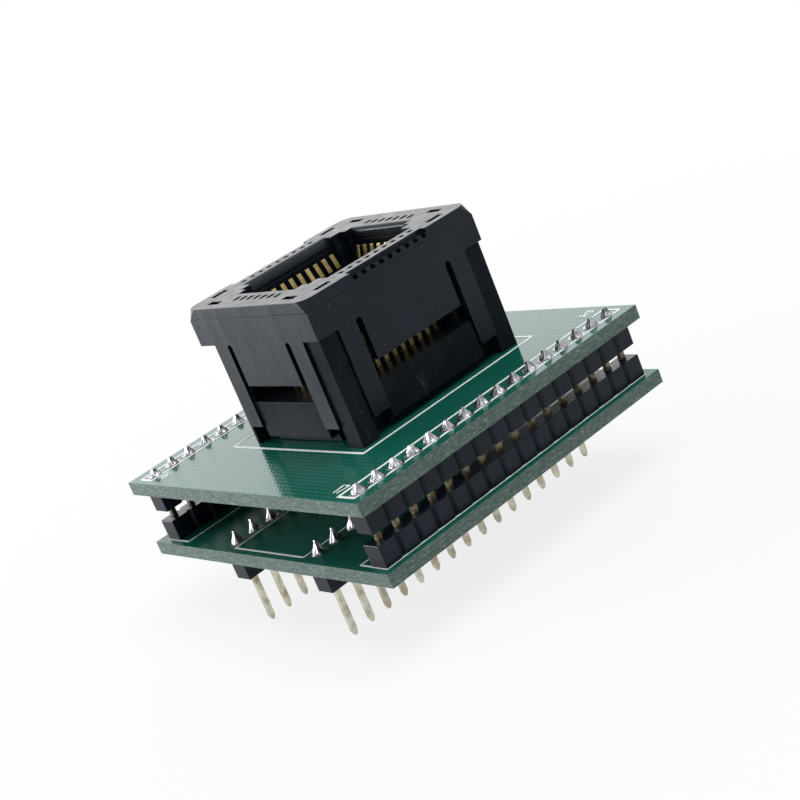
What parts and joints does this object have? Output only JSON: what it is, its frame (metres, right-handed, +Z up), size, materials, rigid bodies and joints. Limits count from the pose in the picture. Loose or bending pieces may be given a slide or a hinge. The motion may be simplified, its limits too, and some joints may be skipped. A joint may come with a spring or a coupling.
{
  "type": "programmer adapter socket",
  "caption": "Open-top test socket for a J-lead chip on two stacked circuit boards, with a press-down cover and two rows of plug pins below.",
  "frame": {"origin": "middle of the outline, at the tips of the plug pins", "axes": "+X along the pin rows, +Z up out of the chip opening"},
  "size_m": [0.0428, 0.0432, 0.0346],
  "materials": {
    "board": "green solder mask over glass fibre laminate",
    "strip": "black moulded insulator",
    "solder": "bright tin solder",
    "gold_pin": "gold plated",
    "gold_contact": "gold plated spring strip",
    "moulding": "black high temperature moulding"
  },
  "bodies": {
    "adapter": {"upper_board": "board", "lower_board": "board", "link_strip_upper_left": "strip", "link_strip_lower_left": "strip", "link_pins_left": "gold_pin", "solder_top_left": "solder", "dip_strip_left": "strip", "dip_pins_left": "gold_pin", "solder_dip_left": "solder", "link_strip_upper_right": "strip", "link_strip_lower_right": "strip", "link_pins_right": "gold_pin", "solder_top_right": "solder", "dip_strip_right": "strip", "dip_pins_right": "gold_pin", "solder_dip_right": "solder", "socket_base": "moulding", "contact_tails_front": "gold_contact", "contact_tails_back": "gold_contact", "contact_tails_left": "gold_contact", "contact_tails_right": "gold_contact"},
    "cover": {"socket_cover": "moulding"},
    "contacts_front": {"contact_arms_front": "gold_contact"},
    "contacts_back": {"contact_arms_back": "gold_contact"},
    "contacts_left": {"contact_arms_left": "gold_contact"},
    "contacts_right": {"contact_arms_right": "gold_contact"}
  },
  "joints": [
    {"name": "cover_press", "type": "slide", "parent": "adapter", "child": "cover", "axis": [0, 0, -1], "range_m": [0, 0.002], "stiffness_N_per_m": 1500},
    {"name": "contacts_front_open", "type": "hinge", "parent": "adapter", "child": "contacts_front", "pos_m": [-0.00768, -0.0005, 0.02125], "axis": [0, -1, 0], "range_deg": [0, 4.2]},
    {"name": "contacts_back_open", "type": "hinge", "parent": "adapter", "child": "contacts_back", "pos_m": [0.00898, -0.0005, 0.02125], "axis": [0, 1, 0], "range_deg": [0, 4.2]},
    {"name": "contacts_left_open", "type": "hinge", "parent": "adapter", "child": "contacts_left", "pos_m": [0.00065, 0.00656, 0.02125], "axis": [-1, 0, 0], "range_deg": [0, 4.2]},
    {"name": "contacts_right_open", "type": "hinge", "parent": "adapter", "child": "contacts_right", "pos_m": [0.00065, -0.00756, 0.02125], "axis": [1, 0, 0], "range_deg": [0, 4.2]}
  ],
  "couplings": [
    {"joint": "contacts_front_open", "follows": "cover_press", "rad_per_m": 36.648},
    {"joint": "contacts_back_open", "follows": "cover_press", "rad_per_m": 36.648},
    {"joint": "contacts_left_open", "follows": "cover_press", "rad_per_m": 36.648},
    {"joint": "contacts_right_open", "follows": "cover_press", "rad_per_m": 36.648}
  ]
}
